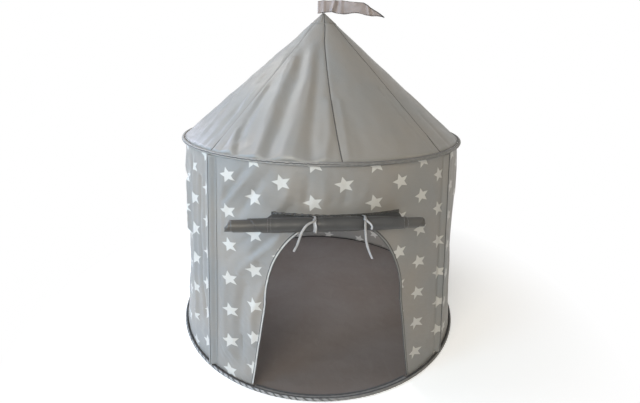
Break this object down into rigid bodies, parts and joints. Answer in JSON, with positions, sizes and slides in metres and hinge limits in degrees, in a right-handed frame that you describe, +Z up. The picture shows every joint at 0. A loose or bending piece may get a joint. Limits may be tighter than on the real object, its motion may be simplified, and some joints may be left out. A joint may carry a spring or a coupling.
{
  "type": "play tent",
  "caption": "Round castle-style play tent: hooped star-print wall, cone roof with pennant flag, and an arched doorway with its cloth door rolled up and tied.",
  "frame": {"origin": "middle of the floor cloth's underside, where the tent stands", "axes": "+Z up through the apex, the door faces -Y, +X to the right of someone who looks in through the door"},
  "size_m": [1.1292, 1.1401, 1.2205],
  "materials": {
    "wall_cloth": "satin weave with a star print",
    "roof_cloth": "satin weave, plain",
    "binding_tape": "matt woven tape",
    "dark_cloth": "matt woven",
    "floor_cloth": "matt coated cloth",
    "flag_cloth": "matt woven",
    "ribbon": "satin ribbon",
    "spring_wire": "coated",
    "pole_plastic": "extruded",
    "fitting_plastic": "moulded"
  },
  "bodies": {
    "tent": {"floor_mat": "floor_cloth", "base_hoop": "spring_wire", "base_binding": "binding_tape", "eaves_hoop": "spring_wire", "eaves_binding": "binding_tape", "wall_panel_front": "wall_cloth", "wall_panel_right": "wall_cloth", "wall_panel_back": "wall_cloth", "wall_panel_left": "wall_cloth", "pole_sleeve_front_left": "wall_cloth", "wall_pole_lower_front_left": "pole_plastic", "wall_pole_upper_front_left": "pole_plastic", "pole_ferrule_front_left": "fitting_plastic", "pole_foot_front_left": "fitting_plastic", "roof_pole_front_left": "pole_plastic", "roof_pocket_front_left": "dark_cloth", "pole_sleeve_front_right": "wall_cloth", "wall_pole_lower_front_right": "pole_plastic", "wall_pole_upper_front_right": "pole_plastic", "pole_ferrule_front_right": "fitting_plastic", "pole_foot_front_right": "fitting_plastic", "roof_pole_front_right": "pole_plastic", "roof_pocket_front_right": "dark_cloth", "pole_sleeve_back_right": "wall_cloth", "wall_pole_lower_back_right": "pole_plastic", "wall_pole_upper_back_right": "pole_plastic", "pole_ferrule_back_right": "fitting_plastic", "pole_foot_back_right": "fitting_plastic", "roof_pole_back_right": "pole_plastic", "roof_pocket_back_right": "dark_cloth", "pole_sleeve_back_left": "wall_cloth", "wall_pole_lower_back_left": "pole_plastic", "wall_pole_upper_back_left": "pole_plastic", "pole_ferrule_back_left": "fitting_plastic", "pole_foot_back_left": "fitting_plastic", "roof_pole_back_left": "pole_plastic", "roof_pocket_back_left": "dark_cloth", "roof_gore_1": "roof_cloth", "roof_gore_2": "roof_cloth", "roof_gore_3": "roof_cloth", "roof_gore_4": "roof_cloth", "roof_gore_5": "roof_cloth", "roof_gore_6": "roof_cloth", "roof_gore_7": "roof_cloth", "roof_gore_8": "roof_cloth", "roof_cap": "roof_cloth", "apex_hub": "fitting_plastic", "door_arch_binding": "binding_tape", "door_header": "dark_cloth", "door_flap": "dark_cloth", "door_tie_left": "ribbon", "door_tie_right": "ribbon"},
    "flag_stick": {"flag_stick": "pole_plastic"},
    "flag": {"flag": "flag_cloth"},
    "door_roll": {"door_roll": "dark_cloth"}
  },
  "joints": [
    {"name": "door_unroll", "type": "slide", "parent": "tent", "child": "door_roll", "axis": [0, -0.0558, -0.9984], "range_m": [0, 0.53], "deforming": ["door_flap", "door_tie_left", "door_tie_right"]},
    {"name": "flagstick_pull", "type": "slide", "parent": "tent", "child": "flag_stick", "axis": [0, 0, 1], "range_m": [0, 0.05]},
    {"name": "flag_swivel", "type": "hinge", "parent": "flag_stick", "child": "flag", "pos_m": [0, 0, 1.2], "axis": [0, 0, 1], "continuous": true}
  ]
}
